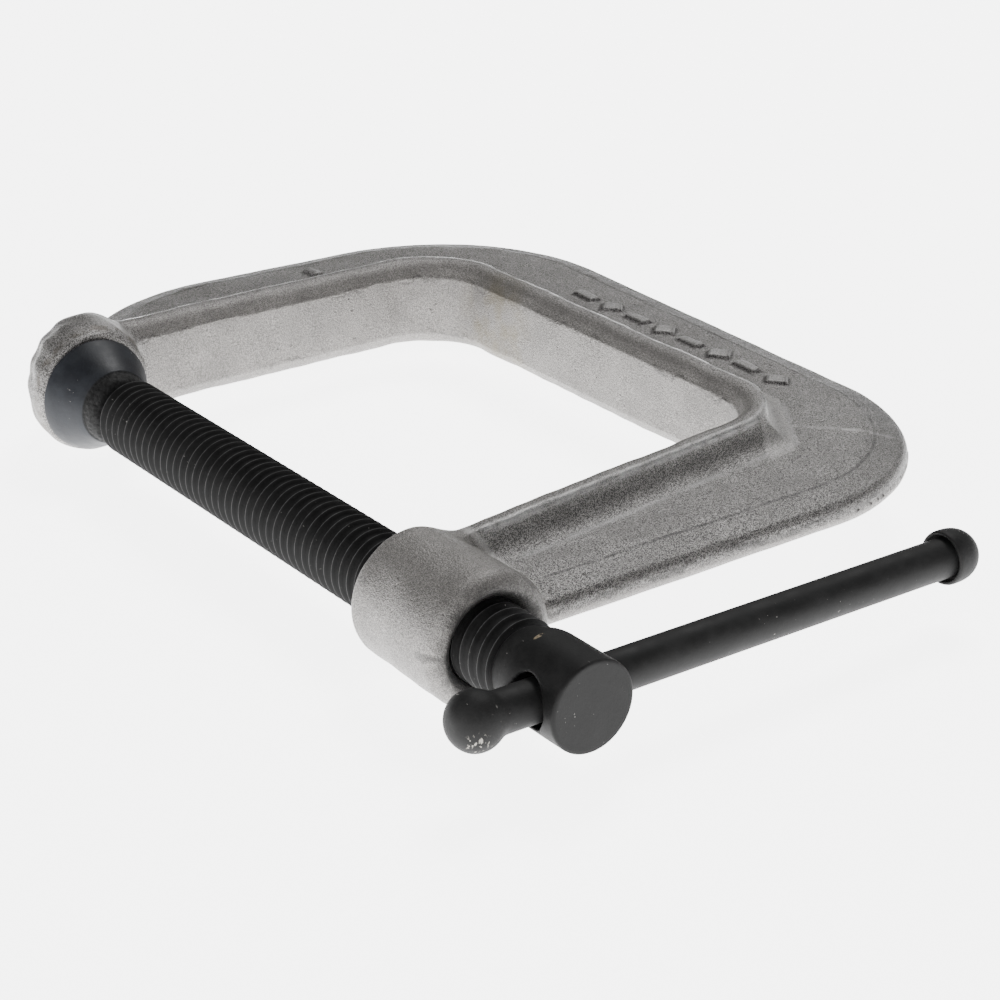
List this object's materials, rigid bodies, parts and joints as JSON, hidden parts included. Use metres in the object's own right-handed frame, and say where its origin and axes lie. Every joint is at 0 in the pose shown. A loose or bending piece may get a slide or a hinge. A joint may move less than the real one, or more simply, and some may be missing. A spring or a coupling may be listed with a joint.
{
  "type": "c clamp",
  "caption": "Forged steel C clamp with a threaded screw, swivel shoe and sliding tommy bar, shown closed and lying on its side.",
  "frame": {"origin": "centre of the anvil's clamping face, on the screw's axis", "axes": "+X along the screw from the anvil to the head, +Y from the screw towards the frame's spine, +Z square to the flat side of the frame"},
  "size_m": [0.1719, 0.1244, 0.024],
  "materials": {
    "forged_steel": "shot-blasted drop-forged steel, sparkling mid grey",
    "black_oxide": "black oxide steel, oiled, worn on the thread crests",
    "blued_steel": "dark blued steel, satin"
  },
  "bodies": {
    "frame_body": {"frame": "forged_steel"},
    "shoe_body": {"shoe": "blued_steel"},
    "screw_body": {"screw": "black_oxide"},
    "bar_body": {"tommy_bar": "black_oxide", "bar_cap": "black_oxide"}
  },
  "joints": [
    {"name": "screw_advance", "type": "slide", "parent": "frame_body", "child": "shoe_body", "axis": [1, 0, 0], "range_m": [0, 0.083]},
    {"name": "screw_turn", "type": "hinge", "parent": "shoe_body", "child": "screw_body", "pos_m": [0, 0, 0], "axis": [1, 0, 0], "range_deg": [0, 14940]},
    {"name": "bar_slide", "type": "slide", "parent": "screw_body", "child": "bar_body", "axis": [0, 0.9999, -0.014], "range_m": [-0.062, 0.006]}
  ],
  "couplings": [
    {"joint": "screw_advance", "follows": "screw_turn", "m_per_rad": 0.00031831}
  ]
}
